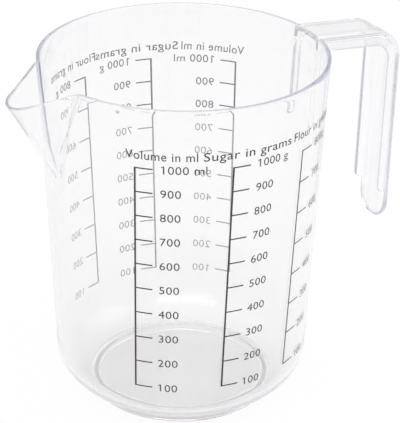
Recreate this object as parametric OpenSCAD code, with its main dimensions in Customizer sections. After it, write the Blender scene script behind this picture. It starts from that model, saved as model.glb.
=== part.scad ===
// Measuring jug: a clear plastic moulding with scales printed on the outside of its wall.
// Millimetres, +Z up. The origin is the centre of the foot ring's resting face.
// The handle points along +X and the spout along -X.

/* [Vessel] */
// Height of the rim above the resting face
jug_h = 149; // [140:1:175]
// Outside diameter of the wall at the rim
rim_d = 117.4; // [108.2:0.2:130]
// Outside diameter of the wall at the top of the round corner
waist_d = 105.8; // [98:0.2:107.8]
// Thickness of the wall
wall_t = 1.6; // [1.2:0.1:2.2]
// Thickness of the floor
floor_t = 2.2; // [1.6:0.1:3.2]
// Height that the floor rises towards its middle
floor_rise = 1.2; // [0.4:0.1:2.4]
// How far the round corner reaches in from the wall
corner_reach = 19.2; // [16:0.2:24]
// Height of the round corner
corner_h = 16.2; // [12:0.2:19]
// Height of the band that ends in the rim's flat top
rim_h = 3; // [2.2:0.2:5]
// Radius of the rim's two rounded edges
rim_edge_r = 0.3; // [0.2:0.05:0.5]

/* [Foot ring] */
// Outside diameter of the foot ring
foot_d = 77; // [68:0.5:80]
// Width of the ring's wall
foot_w = 3.2; // [2:0.1:4.5]
// Height of the foot ring below the floor
foot_h = 3.4; // [2.4:0.1:5]
// Radius of the rounded edges on the resting face
foot_edge_r = 0.8; // [0.4:0.1:0.9]

/* [Spout] */
// Distance from the rim to the tip of the spout
spout_reach = 17.6; // [13:0.2:22]
// Half angle of the rim that the spout takes up
spout_half_angle = 19.5; // [16:0.5:23]
// Depth of the keel's foot below the rim
spout_depth = 42; // [34:0.5:50]
// Height that the lip drops from the rim to the tip
lip_drop = 8.4; // [4:0.2:11]
// Depth of the lip's hollow line below a straight one
lip_sag = 0.7; // [0:0.1:1.6]
// Outside radius of the tip
spout_tip_r = 9; // [6:0.5:11]
// Outside radius of the keel at its foot
spout_foot_r = 7; // [5:0.5:9]
// Outside radius of the wings' ends inside the wall
wing_end_r = 4; // [3.6:0.2:5]

/* [Handle] */
// Distance from the rim to the outer face of the grip
handle_reach = 39; // [33:0.5:46]
// Width of the handle
handle_w = 19.5; // [16:0.5:24]
// Thickness of the strap
strap_t = 2.3; // [1.9:0.1:3]
// Height of the strap's crowned face over its edges
strap_crown = 0.3; // [0.1:0.1:0.7]
// Radius of the strap's long outer edges
strap_edge_r = 1.1; // [0.6:0.1:1.2]
// Depth of the channel, from the strap's outer face to the flanges' free edges
channel_depth = 6.4; // [5:0.2:8]
// Thickness of each flange and wall rib
flange_t = 2; // [1.5:0.1:2.6]
// Outside radius of the bend between arm and grip
bend_r = 12.5; // [10.5:0.5:16]
// Depth of the arm's upper face below the rim, at the wall
arm_drop = 0.1; // [0.1:0.05:0.6]
// Dip of the arm from the rim outwards, in degrees
arm_dip = 4.2; // [1:0.2:8]
// Lean of the grip towards the vessel, in degrees
grip_lean = 1.1; // [0:0.1:3]
// Height of the strap's free tip above the resting face
tip_z = 57.2; // [45:0.2:60]
// Height of the flanges' free ends above the resting face
flange_end_z = 72; // [70:1:84]
// Radius of the rounded corner at a flange's free end
flange_end_r = 2.8; // [1.5:0.1:3]
// Depth of the wall ribs below the arm
rib_depth = 3.1; // [2.4:0.1:4.5]
// Height of the ribs' lower ends above the resting face
rib_end_z = 109.5; // [100:0.5:116]
// Reach of the fillet between a rib and the arm
rib_fillet = 2.6; // [1:0.2:4]

/* [Printed scales] */
// Thickness of the ink
ink_t = 0.12; // [0.08:0.01:0.2]
// Width of each scale's upright line
upright_w = 0.75; // [0.5:0.05:1.1]
// Thickness of each mark
mark_t = 0.55; // [0.35:0.05:0.8]
// Length of each mark
mark_len = 7; // [5:0.2:9]
// Height of the lowest mark of the volume and sugar scales
first_mark_z = 25.4; // [23:0.2:28]
// Rise between the two lowest volume marks: the other marks follow for equal volumes
mark_rise = 11.85; // [11.4:0.05:12]
// Number of marks on the volume and sugar scales
mark_count = 10; // [6:1:10]
// Height of the lowest mark of the flour scale
flour_first_z = 25.2; // [23:0.2:28]
// Rise between the two lowest marks of the flour scale
flour_first_rise = 15; // [13:0.2:16]
// Rise between the other marks of the flour scale
flour_rise = 13.7; // [12:0.1:14]
// Number of marks on the flour scale
flour_count = 8; // [5:1:8]
// Lean of the printed uprights, in degrees
print_lean = 0.83; // [0:0.01:1.5]

/* [Hidden] */

CLEAR = [0.86, 0.88, 0.92, 0.45];
INK = [0.16, 0.15, 0.15];

// Angles of the upright lines round the wall, in degrees: volume, sugar and flour
front_angles = [-136.8, -98.8, -64.5];
back_angles = [38.5, 75.8, 108.6];

// Overrun of every cut
over = 1;
// Facets of the turned pieces and of the balls inside a hull
turned_fn = 180;
hull_fn = 32;
// Segments of the round corner, the floor's rise, the handle's bend and a rounded edge
corner_steps = 14;
rise_steps = 8;
bend_steps = 14;
edge_steps = 6;
// Segments of half the strap's crown, and of half its rounded tip
crown_steps = 4;
tip_steps = 12;
// Share of the strap's width above its tip, and share that the tip's end keeps
whole_share = 1;
tip_share = 0.12;
// The spout's walls are carried past the lip by this share of their length before they are cut
lip_extra_share = 0.3;
LEFT = -1;
RIGHT = 1;

function reversed(list) = [for (i = [len(list) - 1 : -1 : 0]) list[i]];

// Curve from a to c that leaves and arrives along the lines to b
function quad_curve(a, b, c) =
    [for (i = [0 : edge_steps])
        let (t = i / edge_steps) a * pow(1 - t, 2) + b * 2 * t * (1 - t) + c * pow(t, 2)];

// Vessel sizes
rim_r = rim_d / 2;
corner_top = foot_h + corner_h;
wall_lean = (rim_d - waist_d) / 2 / (jug_h - corner_top);
corner_x = waist_d / 2 - corner_reach;
inner_corner_h = corner_h - floor_t;
rim_edge_z = jug_h - rim_edge_r;

// Radius of the wall's outer and inner face at height z
function wall_out(z) = waist_d / 2 + wall_lean * (z - corner_top);
function wall_in(z) = wall_out(z) - wall_t;

// The round corner is a quarter ellipse that leaves the wall along the wall's own lean
function corner_arc(reach, h) =
    [for (i = [0 : corner_steps])
        let (a = 90 * i / corner_steps)
            [corner_x + reach * cos(a) - wall_lean * h * sin(a), corner_top - h * sin(a)]];

// The floor's rise from the corner's foot to the axis, as half a cosine wave
function rise_arc(h, z) =
    [for (i = [1 : rise_steps])
        let (t = i / rise_steps)
            [(corner_x - wall_lean * h) * (1 - t), z + floor_rise * (1 - cos(180 * t)) / 2]];

function base_outside() =
    concat(corner_arc(corner_reach, corner_h), rise_arc(corner_h, foot_h));
function base_inside() =
    concat(
        corner_arc(corner_reach - wall_t, inner_corner_h),
        rise_arc(inner_corner_h, foot_h + floor_t)
    );

// A rounded edge of the rim about centre x, from angle a0 to a1 seen in section
function rim_edge(x, a0, a1) =
    [for (i = [0 : edge_steps])
        let (a = a0 + (a1 - a0) * i / edge_steps)
            [x + rim_edge_r * cos(a), rim_edge_z + rim_edge_r * sin(a)]];
function outer_rim_edge() = rim_edge(wall_out(rim_edge_z) - rim_edge_r, 0, 90);
function inner_rim_edge() = rim_edge(wall_in(rim_edge_z) + rim_edge_r, 90, 180);

// All that lies inside the vessel's outer face, carried up past the lip
module vessel_solid() {
    rotate_extrude($fn = turned_fn)
        polygon(concat(
            [[0, corner_top], [wall_out(corner_top), corner_top]],
            outer_rim_edge(),
            [
                [wall_out(rim_edge_z) - rim_edge_r, jug_h + spout_depth],
                [0, jug_h + spout_depth]
            ]
        ));
}

module vessel_wall() {
    color(CLEAR)
        difference() {
            rotate_extrude($fn = turned_fn)
                polygon([
                    [wall_in(corner_top), corner_top],
                    [wall_out(corner_top), corner_top],
                    [wall_out(jug_h - rim_h), jug_h - rim_h],
                    [wall_in(jug_h - rim_h), jug_h - rim_h]
                ]);
            spout_form(wall_t);
        }
}

module vessel_base() {
    color(CLEAR)
        rotate_extrude($fn = turned_fn)
            polygon(concat(base_outside(), reversed(base_inside())));
}

module foot_ring() {
    color(CLEAR)
        rotate_extrude($fn = turned_fn)
            difference() {
                polygon(concat(
                    [[foot_d / 2, corner_top], [foot_d / 2, foot_edge_r]],
                    quad_curve([foot_d / 2, foot_edge_r], [foot_d / 2, 0], [foot_d / 2 - foot_edge_r, 0]),
                    quad_curve(
                        [foot_d / 2 - foot_w + foot_edge_r, 0],
                        [foot_d / 2 - foot_w, 0],
                        [foot_d / 2 - foot_w, foot_edge_r]
                    ),
                    [[foot_d / 2 - foot_w, corner_top]]
                ));
                polygon(concat(base_outside(), [[0, corner_top + over], [waist_d / 2, corner_top + over]]));
            }
}

module rim() {
    color(CLEAR)
        difference() {
            rotate_extrude($fn = turned_fn)
                polygon(concat(
                    [[wall_in(jug_h - rim_h), jug_h - rim_h], [wall_out(jug_h - rim_h), jug_h - rim_h]],
                    outer_rim_edge(),
                    inner_rim_edge()
                ));
            spout_form(wall_t);
        }
}

// Spout: one form hulled from a ball at the tip, one at the keel's foot and one at each
// wing's end. The same form drawn in by the wall's thickness is its hollow.
spout_foot_z = jug_h - spout_depth;
spout_tip_x = rim_r + spout_reach;
wing_root = [-rim_r * cos(spout_half_angle), rim_r * sin(spout_half_angle), jug_h];
lip_root = [wing_root[0], jug_h];
lip_tip = [-spout_tip_x, jug_h - lip_drop];
keel_tilt = atan2(spout_tip_x - wall_out(spout_foot_z), spout_depth - lip_drop);
keel_inward = [cos(keel_tilt), 0, sin(keel_tilt)];
tip_centre = [-spout_tip_x, 0, jug_h - lip_drop] + spout_tip_r * keel_inward;
foot_centre = [-wall_out(spout_foot_z), 0, spout_foot_z] + spout_foot_r * keel_inward;

// Outward normal of the wing: its plane passes through the root and touches both balls
function wing_normal() =
    let (
        a = tip_centre - foot_centre,
        b = wing_root - foot_centre,
        a_rise = spout_foot_r - spout_tip_r,
        b_rise = spout_foot_r,
        det = (a * a) * (b * b) - pow(a * b, 2),
        along = ((a_rise * (b * b) - b_rise * (a * b)) * a + (b_rise * (a * a) - a_rise * (a * b)) * b) / det,
        across = cross(a, b) / sqrt(det)
    )
    along + sqrt(1 - along * along) * across;

wing_n = wing_normal();
wing_end_x = -(wall_in(jug_h) - wing_end_r) * cos(spout_half_angle);
wing_end_y = wing_root[1] - (wing_end_r + wing_n[0] * (wing_end_x - wing_root[0])) / wing_n[1];

// A ball of the form, carried on along its line from the keel's foot
module carried_ball(centre, r, drawn_in) {
    share = 1 + lip_extra_share;
    translate(foot_centre + share * (centre - foot_centre))
        sphere(r = spout_foot_r + share * (r - spout_foot_r) - drawn_in, $fn = hull_fn);
}

module spout_form(drawn_in) {
    hull() {
        translate(foot_centre)
            sphere(r = spout_foot_r - drawn_in, $fn = hull_fn);
        carried_ball(tip_centre, spout_tip_r, drawn_in);
        for (side = [LEFT, RIGHT])
            carried_ball([wing_end_x, side * wing_end_y, jug_h], wing_end_r, drawn_in);
    }
}

// All that lies above the lip, which runs down from the rim to the tip in a hollow line
module above_lip() {
    far_x = spout_tip_x + spout_tip_r;
    rotate([90, 0, 0])
        linear_extrude(height = rim_d, center = true)
            polygon(concat(
                [[0, jug_h]],
                quad_curve(lip_root, (lip_root + lip_tip) / 2 - [0, 2 * lip_sag], lip_tip),
                [
                    [-far_x, jug_h - lip_drop],
                    [-far_x, jug_h + spout_depth],
                    [0, jug_h + spout_depth]
                ]
            ));
}

module pouring_spout() {
    color(CLEAR)
        difference() {
            spout_form(0);
            spout_form(wall_t);
            vessel_solid();
            above_lip();
        }
}

// Handle: its path is the outer face's middle line, from the rim along the arm, round the
// bend and down the grip. Everything else lies at a depth below that path.
half_w = handle_w / 2;
grip_heading = -90 - grip_lean;
root_run = wall_t + over;
arm_len = (handle_reach - bend_r + bend_r * sin(arm_dip)) / cos(arm_dip);

function ahead(heading) = [cos(heading), sin(heading)];
function outward(heading) = [-sin(heading), cos(heading)];
function arm_point(run) = [rim_r, jug_h - arm_drop] + run * ahead(-arm_dip);

bend_centre = arm_point(arm_len) - bend_r * outward(-arm_dip);
bend_end = bend_centre + bend_r * outward(grip_heading);

// Stations of the path down to height end_z, each a point and a heading
function stations(end_z) =
    concat(
        [[arm_point(-root_run), -arm_dip]],
        [for (i = [0 : bend_steps])
            let (heading = -arm_dip + (grip_heading + arm_dip) * i / bend_steps)
                [bend_centre + bend_r * outward(heading), heading]],
        [[bend_end + (bend_end[1] - end_z) / cos(grip_lean) * ahead(grip_heading), grip_heading]]
    );
function at_depth(stops, depth) = [for (s = stops) s[0] - depth * outward(s[1])];

// Section of the strap, as points of sideways place and depth, with the crown on top
function strap_half_section() =
    let (flat_w = half_w - strap_edge_r)
        concat(
            [for (i = [0 : crown_steps - 1])
                let (t = i / crown_steps) [flat_w * t, strap_crown * t * t]],
            [for (i = [0 : edge_steps])
                let (a = 90 * i / edge_steps)
                    [flat_w + strap_edge_r * sin(a), strap_crown + strap_edge_r * (1 - cos(a))]],
            [[half_w, strap_t]]
        );
function strap_section() =
    let (half = strap_half_section())
        concat(half, reversed([for (i = [1 : len(half) - 1]) [-half[i][0], half[i][1]]]));

// Stations of the strap with the share of its width at each: the tip narrows in a half round
tip_turn = acos(tip_share);
function strap_stations() =
    let (stops = stations(tip_z + half_w * sin(tip_turn)), end = stops[len(stops) - 1])
        concat(
            [for (s = stops) [s[0], s[1], whole_share]],
            [for (i = [1 : tip_steps])
                let (a = tip_turn * i / tip_steps)
                    [end[0] + half_w * sin(a) * ahead(end[1]), end[1], cos(a)]]
        );

// Sweeps a section along the stations. Each end is a fan of triangles about its first lower corner.
module swept(section, stops) {
    n = len(section);
    last = len(stops) - 1;
    corner = (n + 1) / 2;
    points = [for (s = stops, q = section)
        let (p = s[0] - q[1] * outward(s[1])) [p[0], s[2] * q[0], p[1]]];
    sides = [for (i = [0 : last - 1], j = [0 : n - 1])
        let (a = i * n + j, b = i * n + (j + 1) % n)
            each [[a, a + n, b], [b, a + n, b + n]]];
    fan = [for (k = [1 : n - 2]) [corner, (corner + k) % n, (corner + k + 1) % n]];
    far_fan = [for (f = fan) [f[2] + last * n, f[1] + last * n, f[0] + last * n]];
    polyhedron(points = points, faces = concat(sides, fan, far_fan));
}

module handle_strap() {
    color(CLEAR)
        difference() {
            swept(strap_section(), strap_stations());
            vessel_solid();
        }
}

// Places a flat outline of the handle at one of its two sides
module at_side(side) {
    translate([0, side * (half_w - flange_t / 2), 0])
        rotate([90, 0, 0])
            linear_extrude(height = flange_t, center = true)
                children();
}

// The free end of a flange turns in a quarter round from its edge towards the strap
function flange_end(stop) =
    let (
        down = ahead(stop[1]),
        out = outward(stop[1]),
        middle = stop[0] - channel_depth * out + flange_end_r * (out - down)
    )
    [for (i = [0 : edge_steps])
        let (a = 90 * i / edge_steps) middle + flange_end_r * (down * cos(a) - out * sin(a))];

module handle_flange(side) {
    stops = stations(flange_end_z);
    inner_edge = at_depth(stops, channel_depth);
    color(CLEAR)
        difference() {
            at_side(side)
                polygon(concat(
                    at_depth(stops, strap_t),
                    flange_end(stops[len(stops) - 1]),
                    reversed([for (i = [0 : len(stops) - 2]) inner_edge[i]])
                ));
            vessel_solid();
        }
}

// Outer edge of a wall rib at height z, and the height of the flanges' edge along the arm
function rib_x(z) = sqrt(pow(wall_out(z), 2) - pow(half_w, 2)) + rib_depth;
function under_arm_z(x) =
    let (edge = arm_point(0) - channel_depth * outward(-arm_dip))
        edge[1] - (x - edge[0]) * tan(arm_dip);

module handle_rib(side) {
    root_x = wall_in(rib_end_z) - over;
    top_x = rib_x(under_arm_z(rim_r) - rib_fillet);
    end_x = rib_x(rib_end_z);
    color(CLEAR)
        difference() {
            at_side(side)
                polygon(concat(
                    [[root_x, under_arm_z(root_x)]],
                    quad_curve(
                        [top_x + rib_fillet, under_arm_z(top_x + rib_fillet)],
                        [top_x, under_arm_z(top_x)],
                        [top_x, under_arm_z(top_x) - rib_fillet]
                    ),
                    quad_curve(
                        [rib_x(rib_end_z + rib_depth), rib_end_z + rib_depth],
                        [end_x, rib_end_z],
                        [end_x - rib_depth, rib_end_z]
                    ),
                    [[root_x, rib_end_z]]
                ));
            vessel_solid();
        }
}

module handle_flange_left() { handle_flange(LEFT); }
module handle_flange_right() { handle_flange(RIGHT); }
module handle_rib_left() { handle_rib(LEFT); }
module handle_rib_right() { handle_rib(RIGHT); }

// Scales: equal volumes of a cone that widens upwards stand closer and closer together
first_in = wall_in(first_mark_z);
step_cube = pow(first_in + wall_lean * mark_rise, 3) - pow(first_in, 3);

function volume_heights() =
    [for (k = [0 : mark_count - 1])
        first_mark_z + (pow(pow(first_in, 3) + k * step_cube, 1 / 3) - first_in) / wall_lean];
function flour_heights() =
    concat(
        [flour_first_z],
        [for (k = [0 : flour_count - 2]) flour_first_z + flour_first_rise + k * flour_rise]
    );

// The skin of ink on the wall between two heights
module ink_skin(z0, z1) {
    rotate_extrude($fn = turned_fn)
        polygon([
            [wall_out(z0), z0],
            [wall_out(z0) + ink_t, z0],
            [wall_out(z1) + ink_t, z1],
            [wall_out(z1), z1]
        ]);
}

// An upright line that leans a little, with a mark to its right at each height
module printed_scale(angle, heights) {
    bottom = heights[0] - mark_t / 2;
    top = heights[len(heights) - 1] + mark_t / 2;
    middle = (bottom + top) / 2;
    color(INK)
        rotate([0, 0, angle])
            intersection() {
                ink_skin(bottom, top);
                union() {
                    translate([0, 0, middle])
                        rotate([-print_lean, 0, 0])
                            translate([0, -upright_w / 2, bottom - middle - over])
                                cube([rim_d, upright_w, top - bottom + 2 * over]);
                    for (z = heights)
                        translate([0, (z - middle) * tan(print_lean), z - mark_t / 2])
                            cube([rim_d, mark_len, mark_t]);
                }
            }
}

module volume_scale_front() { printed_scale(front_angles[0], volume_heights()); }
module sugar_scale_front() { printed_scale(front_angles[1], volume_heights()); }
module flour_scale_front() { printed_scale(front_angles[2], flour_heights()); }
module volume_scale_back() { printed_scale(back_angles[0], volume_heights()); }
module sugar_scale_back() { printed_scale(back_angles[1], volume_heights()); }
module flour_scale_back() { printed_scale(back_angles[2], flour_heights()); }

vessel_wall();
vessel_base();
foot_ring();
rim();
pouring_spout();
handle_strap();
handle_flange_left();
handle_flange_right();
handle_rib_left();
handle_rib_right();
volume_scale_front();
sugar_scale_front();
flour_scale_front();
volume_scale_back();
sugar_scale_back();
flour_scale_back();
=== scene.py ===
"""Measuring jug: one clear moulding with printed scales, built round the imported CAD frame.

Lengths are in millimetres in the making and in metres in Blender. The vessel's axis is Z, the
handle points along +X and the spout along -X.
"""

import math

import bmesh
import bpy
import numpy as np
from mathutils import Matrix, Vector


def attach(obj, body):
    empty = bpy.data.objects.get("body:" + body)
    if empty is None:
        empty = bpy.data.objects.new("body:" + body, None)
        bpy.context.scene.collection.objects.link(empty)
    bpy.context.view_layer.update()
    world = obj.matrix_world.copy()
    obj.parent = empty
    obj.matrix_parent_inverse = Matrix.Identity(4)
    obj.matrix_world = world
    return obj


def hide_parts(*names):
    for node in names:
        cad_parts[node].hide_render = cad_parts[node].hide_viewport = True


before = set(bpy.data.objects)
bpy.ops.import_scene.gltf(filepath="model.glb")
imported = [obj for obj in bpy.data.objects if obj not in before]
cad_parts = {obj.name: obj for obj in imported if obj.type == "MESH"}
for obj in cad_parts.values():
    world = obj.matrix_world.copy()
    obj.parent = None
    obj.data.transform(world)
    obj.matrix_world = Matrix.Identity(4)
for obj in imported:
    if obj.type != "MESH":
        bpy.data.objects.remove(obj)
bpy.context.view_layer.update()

MM = 0.001
# What is smaller than this counts as nothing
TINY = 1e-6

# Sizes of the CAD source, in millimetres and degrees
JUG_H = 149.0
RIM_R = 58.7
WAIST_R = 52.9
WALL_T = 1.6
RIM_EDGE_R = 0.3
FLOOR_T = 2.2
FLOOR_RISE = 1.2
CORNER_REACH = 19.2
CORNER_H = 16.2
FOOT_R = 38.5
FOOT_W = 3.2
FOOT_H = 3.4
FOOT_EDGE_R = 0.8

SPOUT_REACH = 17.6
SPOUT_HALF_ANGLE = 19.5
SPOUT_DEPTH = 42.0
LIP_DROP = 8.4
LIP_SAG = 0.7
SPOUT_TIP_R = 9.0
SPOUT_FOOT_R = 7.0

HANDLE_REACH = 39.0
HANDLE_HALF_W = 9.75
STRAP_T = 2.3
STRAP_CROWN = 0.3
STRAP_EDGE_R = 0.8
CHANNEL_DEPTH = 6.4
FLANGE_T = 2.0
BEND_R = 12.5
ARM_DROP = 0.1
ARM_DIP = 4.2
GRIP_LEAN = 1.1
TIP_Z = 57.2
FLANGE_END_Z = 72.0
FLANGE_END_R = 2.8
RIB_DEPTH = 3.1
RIB_END_Z = 109.5
RIB_FILLET = 2.6

CORNER_TOP = FOOT_H + CORNER_H
WALL_LEAN = (RIM_R - WAIST_R) / (JUG_H - CORNER_TOP)


def wall_out(z):
    """Radius of the wall's outer face at height z."""
    return WAIST_R + WALL_LEAN * (z - CORNER_TOP)


# Camera, as fitted to the photograph, whose frame is 400 by 423
FRAME_W, FRAME_H = 400, 423
CAM_AZ, CAM_EL, CAM_ROLL = -27.82, 27.78, 0.61
CAM_DIST = 778.8
CAM_TARGET = (0.0, 0.0, 58.4)
CAM_FOCAL_PX = 1854.3
CAM_CENTRE_PX = (181.62, 254.99)
CAM_CLIP = (0.05, 20)
SENSOR_MM = 36.0


def make_camera():
    az, el, roll = (math.radians(a) for a in (CAM_AZ, CAM_EL, CAM_ROLL))
    back = Vector((math.sin(az) * math.cos(el), -math.cos(az) * math.cos(el), math.sin(el)))
    right = Vector((0, 0, 1)).cross(back).normalized()
    up = back.cross(right)
    rolled_right = right * math.cos(roll) + up * math.sin(roll)
    rolled_up = up * math.cos(roll) - right * math.sin(roll)
    data = bpy.data.cameras.new("camera")
    data.sensor_fit = "HORIZONTAL"
    data.sensor_width = SENSOR_MM
    data.lens = CAM_FOCAL_PX * SENSOR_MM / FRAME_W
    data.shift_x = (FRAME_W / 2 - CAM_CENTRE_PX[0]) / FRAME_W
    data.shift_y = (CAM_CENTRE_PX[1] - FRAME_H / 2) / FRAME_W
    data.clip_start, data.clip_end = CAM_CLIP
    camera = bpy.data.objects.new("camera", data)
    turn = Matrix((rolled_right, rolled_up, back)).transposed().to_4x4()
    place = (Vector(CAM_TARGET) + back * CAM_DIST) * MM
    camera.matrix_world = Matrix.Translation(place) @ turn
    bpy.context.scene.collection.objects.link(camera)
    bpy.context.scene.camera = camera


# Material nodes, which stand in a plain grid
NODES_A_ROW = 12
NODE_W, NODE_H = 200, 340


def add(tree, kind, **values):
    """A new node. The values are its settings, or numbers and colours of its inputs."""
    row, column = divmod(len(tree.nodes), NODES_A_ROW)
    node = tree.nodes.new(kind)
    node.location = (NODE_W * column, -NODE_H * row)
    for key, value in values.items():
        if hasattr(node, key):
            setattr(node, key, value)
        else:
            node.inputs[key.replace("_", " ")].default_value = value
    return node


def feed(tree, value, socket):
    """Links an output to an input, or gives the input a number."""
    if isinstance(value, bpy.types.NodeSocket):
        tree.links.new(value, socket)
    else:
        socket.default_value = value


def rising(tree, value, start, stop, low=0.0, high=1.0):
    """Low where the value is at start, high where it is at stop, and never beyond."""
    node = add(tree, "ShaderNodeMapRange", clamp=True, From_Min=start, From_Max=stop)
    feed(tree, value, node.inputs["Value"])
    feed(tree, low, node.inputs["To Min"])
    feed(tree, high, node.inputs["To Max"])
    return node.outputs["Result"]


def combined(tree, operation, first, *others):
    """Outputs or numbers put together by a math operation, two at a time."""
    for other in others:
        node = add(tree, "ShaderNodeMath", operation=operation)
        feed(tree, first, node.inputs[0])
        feed(tree, other, node.inputs[1])
        first = node.outputs[0]
    return first


def vector_math(tree, operation, first, second=None):
    """A product as a vector, and a length, distance or dot product as a number."""
    node = add(tree, "ShaderNodeVectorMath", operation=operation)
    tree.links.new(first, node.inputs[0])
    if second is not None:
        node.inputs[1].default_value = second
    return node.outputs["Vector" if operation == "MULTIPLY" else "Value"]


def noise(tree, place, scale, detail):
    node = add(tree, "ShaderNodeTexNoise", Scale=scale, Detail=detail)
    tree.links.new(place, node.inputs["Vector"])
    return node.outputs["Fac"]


def bump(tree, height, strength, distance):
    node = add(tree, "ShaderNodeBump", Strength=strength, Distance=distance)
    tree.links.new(height, node.inputs["Height"])
    return node.outputs["Normal"]


def ramp(tree, value, colours):
    """The colour at a value, between colours that are given by their places from 0 to 1."""
    node = add(tree, "ShaderNodeValToRGB")
    elements = node.color_ramp.elements
    first, *between, last = sorted(colours)
    elements[0].position, elements[1].position = first, last
    elements[0].color, elements[1].color = (*colours[first], 1), (*colours[last], 1)
    for position in between:
        elements.new(position).color = (*colours[position], 1)
    tree.links.new(value, node.inputs["Fac"])
    return node.outputs["Color"]


def new_material(name):
    material = bpy.data.materials.new(name)
    material.use_nodes = True
    material.node_tree.nodes.clear()
    return material, material.node_tree


# Clear plastic: its tint in depth, and the haze on its outer faces
PLASTIC_IOR = 1.5
DEPTH_DENSITY, DEPTH_COLOUR = 10.0, (0.48, 0.49, 0.66, 1)
HAZE = 0.17
# Roughness of the polished faces, from least to most, and of the duller base
POLISH = (0.0, 0.03)
BASE_DULL = 0.08
# Noises by scale and detail, and bumps by strength and height in metres
POLISH_NOISE = (140.0, 3.0)
WAVE_NOISE, WAVE_BUMP = (26.0, 1.0), (0.05, 0.0006)
# A ray that has been mirrored more often than this is caught in the plastic
CAUGHT_DEPTH = 3.5

# Level directions: the side of the rim whose painted shade is palest, the far side and the near
# handle side
PALE_SIDE = (-0.75, -0.66, 0.0)
FAR_SIDE = (0.30, 0.95, 0.0)
NEAR_SIDE = (0.42, -0.91, 0.0)

# Each zone's bounds: a measure of Places, and where the zone begins and is full, in millimetres
ZONES = {
    # Fine edges, where the tint is deepened by painted shade
    "crease": (
        ("past_wall", 0.03, 0.12),
        ("past_wall", 0.9, 0.6),
        ("x", -44, -46),
        ("z", 110, 130),
        ("z", 148.4, 148.0),
    ),
    "flange_edge": (("y", 6.5, 7.0), ("under_grip", -0.6, -0.5), ("x", 80, 81), ("z", 137, 135)),
    "rib_edge": (("y", 6.5, 7.0), ("past_rib", -0.6, -0.5), ("x", 64, 63), ("z", 140, 138)),
    "arm_flange": (("y", -7.4, -7.8), ("x", 60, 61), ("x", 90, 86), ("z", 136, 137)),
    "rim_band": (("near_side", 47, 52.5), ("z", 148.0, 148.5)),
    "grip_end": (("from_end", 8.1, 8.8), ("x", 85, 86), ("z", 69, 66)),
    "lip_end": (("over_lip", -1.6, -1.0), ("x", -67, -70)),
    # Where the painted shade streaks show
    "arm": (("x", 60, 64), ("x", 93, 88), ("z", 133, 134.5)),
    "grip": (("x", 85, 86), ("z", 142, 136), ("y", -6, -4)),
    # Where the base is duller
    "worn_base": (("z", 22, 14),),
    # Where painted shade makes caught light deeper than in the wall
    "crease_root": (
        ("x", -50, -52),
        ("x", -57.5, -56.5),
        ("beside", 21.5, 20.5),
        ("z", 102, 104),
        ("z", 146, 144),
    ),
    "lip_tip": (("x", -72, -79),),
    "near_rim": (("near_side", 44, 54), ("z", 144, 146)),
    # Where caught light has a painted shade of its own, paler or darker
    "far_wall": (("far_side", 38, 56),),
    "pale_wall": (("pale_side", 25, 55),),
    "lip": (("x", -55, -56), ("x", -74.5, -71.5), ("beside", 4, 7.5), ("z", 110, 114)),
    "handle": (("x", 57.5, 60),),
    "far_rib": (
        ("x", 52.5, 53),
        ("x", 62.5, 61.5),
        ("z", 142, 140),
        ("y", 6.0, 6.6),
        ("y", 12.0, 11.2),
    ),
    "base": (("z", 30, 18),),
}

# The plastic's plain tint and the painted shade of its fine edges, and how far it goes towards that
# painted shade in each zone
PLAIN_TINT_AND_EDGE_SHADE = {0.0: (0.988, 0.984, 0.984), 1.0: (0.17, 0.21, 0.28)}
PAINTED_EDGE_SHADE = {
    "grip_end": 0.35,
    "lip_end": 0.35,
    "flange_edge": 0.6,
    "rib_edge": 0.7,
    "arm_flange": 0.09,
    "rim_band": 0.14,
}
# The near crease gets lighter painted shade than the far one
NEAR_CREASE_PAINTED_SHADE = 0.3
# Painted shade streaks: how much they change along each axis, and their depth
SHADE_STREAKS = {"arm": ((0.06, 1, 1), 0.10), "grip": ((1, 1, 0.04), 0.14)}
SHADE_STREAK_NOISE = (300.0, 2.0)
SHADE_STREAK_FROM, SHADE_STREAK_FULL = 0.50, 0.66

# Places on the ramp of painted shade for caught light, from the spout's creases at 0 to the light on
# other things
WALL_AT, PALE_AT, HANDLE_AT, DEEP_AT = 0.12, 0.28, 0.4, 0.52
BASE_AT, PASSED_AT, SHADOW_AT = 0.66, 0.82, 1.0
# Painted shades of caught light by zone, then the tints of light that passes on and of the jug's
# shadow
CAUGHT_SHADES_AND_PASSING_TINTS = {
    0.0: (0.22, 0.25, 0.30),
    WALL_AT: (0.62, 0.65, 0.71),
    PALE_AT: (0.80, 0.80, 0.81),
    HANDLE_AT: (0.74, 0.74, 0.755),
    DEEP_AT: (0.32, 0.33, 0.36),
    BASE_AT: (0.965, 0.965, 0.965),
    PASSED_AT: (0.985, 0.985, 0.985),
    SHADOW_AT: (0.855, 0.850, 0.838),
}
# Transparent depths between which caught light goes from leaving the plastic to passing more
PASSED_FROM, PASSED_FULL = 0.4, 0.6
# How far the wall's painted shade on that ramp goes down to the creases' darkest one in a zone
CAUGHT_SHADE_DEEPENING = {"crease_root": 1.0, "lip_tip": 1.0, "near_rim": 0.35}
CAUGHT_SHADE_PLACES = {
    "far_wall": PALE_AT,
    "pale_wall": PALE_AT,
    "lip": PALE_AT,
    "handle": HANDLE_AT,
    "far_rib": DEEP_AT,
    "base": BASE_AT,
}


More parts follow.
